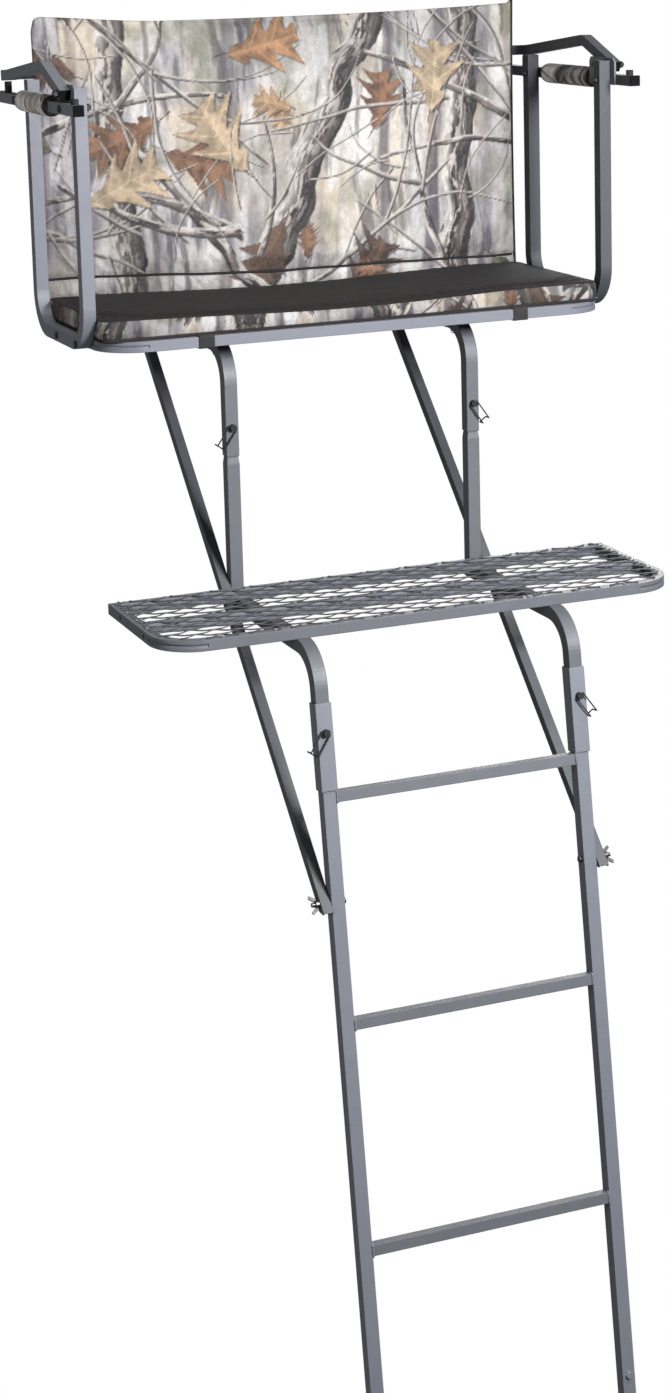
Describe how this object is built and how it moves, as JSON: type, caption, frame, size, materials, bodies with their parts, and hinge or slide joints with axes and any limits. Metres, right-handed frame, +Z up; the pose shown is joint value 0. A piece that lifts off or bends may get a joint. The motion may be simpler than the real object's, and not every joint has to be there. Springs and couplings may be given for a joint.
{
  "type": "ladder tree stand",
  "caption": "Leaning sectional ladder with a mesh foot deck, padded bench, backrest, arm frames and a fold-over padded rail, braced and strapped to a tree.",
  "frame": {"origin": "on the ground, midway between the two ladder feet", "axes": "+X to the sitter's left when seated facing away from the tree, +Y toward the tree, +Z up"},
  "size_m": [1.154, 1.616, 5.0054],
  "materials": {
    "powder_coat": "satin",
    "dark_steel": "satin",
    "zinc_steel": "satin",
    "black_steel": "satin",
    "black_plastic": "matte",
    "stop_rubber": "matte",
    "camo_fabric": "matte",
    "seat_fabric": "matte",
    "webbing": "matte"
  },
  "bodies": {
    "stand": {"lower_rails": "powder_coat", "middle_rails": "powder_coat", "top_rails": "powder_coat", "rungs": "powder_coat", "ladder_feet": "dark_steel", "foot_bolts": "zinc_steel", "section_pins": "zinc_steel", "ladder_sleeves": "powder_coat", "deck_legs": "powder_coat", "deck_frame": "powder_coat", "deck_bars": "powder_coat", "deck_mesh": "dark_steel", "deck_bolts": "zinc_steel", "lower_uprights": "powder_coat", "seat_supports": "powder_coat", "seat_spacers": "dark_steel", "seat_frame": "powder_coat", "seat_bars": "powder_coat", "seat_slats": "dark_steel", "seat_bolts": "zinc_steel", "braces": "powder_coat", "brace_bolts": "zinc_steel", "brace_wing_nuts": "zinc_steel", "tree_bar": "powder_coat", "tree_jaw": "dark_steel", "strap_loops": "zinc_steel", "back_sockets": "powder_coat", "back_frame": "powder_coat", "backrest_pad": "camo_fabric", "seat_cushion": "seat_fabric", "cushion_straps": "webbing", "arm_frames": "powder_coat", "arm_spacers": "dark_steel", "arm_bolts": "black_steel", "arm_bars": "powder_coat", "arm_bar_caps": "black_plastic", "arm_pads": "camo_fabric", "rail_plates": "powder_coat", "rail_pivots": "black_steel", "rail_front_stops": "stop_rubber", "rail_rear_stops": "stop_rubber"},
    "rail": {"shooting_rail": "powder_coat", "rail_caps": "black_plastic", "rail_pad": "camo_fabric"},
    "sleeve_pin_left_body": {"sleeve_pin_left": "black_steel"},
    "sleeve_pin_right_body": {"sleeve_pin_right": "black_steel"},
    "upright_pin_left_body": {"upright_pin_left": "black_steel"},
    "upright_pin_right_body": {"upright_pin_right": "black_steel"},
    "sleeve_bail_left_body": {"sleeve_bail_left": "black_steel"},
    "sleeve_bail_right_body": {"sleeve_bail_right": "black_steel"},
    "upright_bail_left_body": {"upright_bail_left": "black_steel"},
    "upright_bail_right_body": {"upright_bail_right": "black_steel"}
  },
  "joints": [
    {"name": "rail_swing", "type": "hinge", "parent": "stand", "child": "rail", "pos_m": [0, 0.93502, 4.88636], "axis": [1, 0, 0], "range_deg": [0, 155]},
    {"name": "sleeve_pin_left_slide", "type": "slide", "parent": "stand", "child": "sleeve_pin_left_body", "axis": [0, -0.9903, 0.1392], "range_m": [0, 0.034]},
    {"name": "upright_pin_left_slide", "type": "slide", "parent": "stand", "child": "upright_pin_left_body", "axis": [0, -1, 0], "range_m": [0, 0.03]},
    {"name": "sleeve_pin_right_slide", "type": "slide", "parent": "stand", "child": "sleeve_pin_right_body", "axis": [0, -0.9903, 0.1392], "range_m": [0, 0.034]},
    {"name": "upright_pin_right_slide", "type": "slide", "parent": "stand", "child": "upright_pin_right_body", "axis": [0, -1, 0], "range_m": [0, 0.03]},
    {"name": "sleeve_bail_left_swing", "type": "hinge", "parent": "sleeve_pin_left_body", "child": "sleeve_bail_left_body", "pos_m": [-0.25, 0.50786, 3.76892], "axis": [-0.8192, 0.0798, 0.568], "range_deg": [0, 110]},
    {"name": "upright_bail_left_swing", "type": "hinge", "parent": "upright_pin_left_body", "child": "upright_bail_left_body", "pos_m": [-0.25, 0.94702, 4.24236], "axis": [-0.8192, 0, 0.5736], "range_deg": [0, 110]},
    {"name": "sleeve_bail_right_swing", "type": "hinge", "parent": "sleeve_pin_right_body", "child": "sleeve_bail_right_body", "pos_m": [0.25, 0.50786, 3.76892], "axis": [-0.8192, -0.0798, -0.568], "range_deg": [0, 110]},
    {"name": "upright_bail_right_swing", "type": "hinge", "parent": "upright_pin_right_body", "child": "upright_bail_right_body", "pos_m": [0.25, 0.94702, 4.24236], "axis": [-0.8192, 0, -0.5736], "range_deg": [0, 110]}
  ]
}
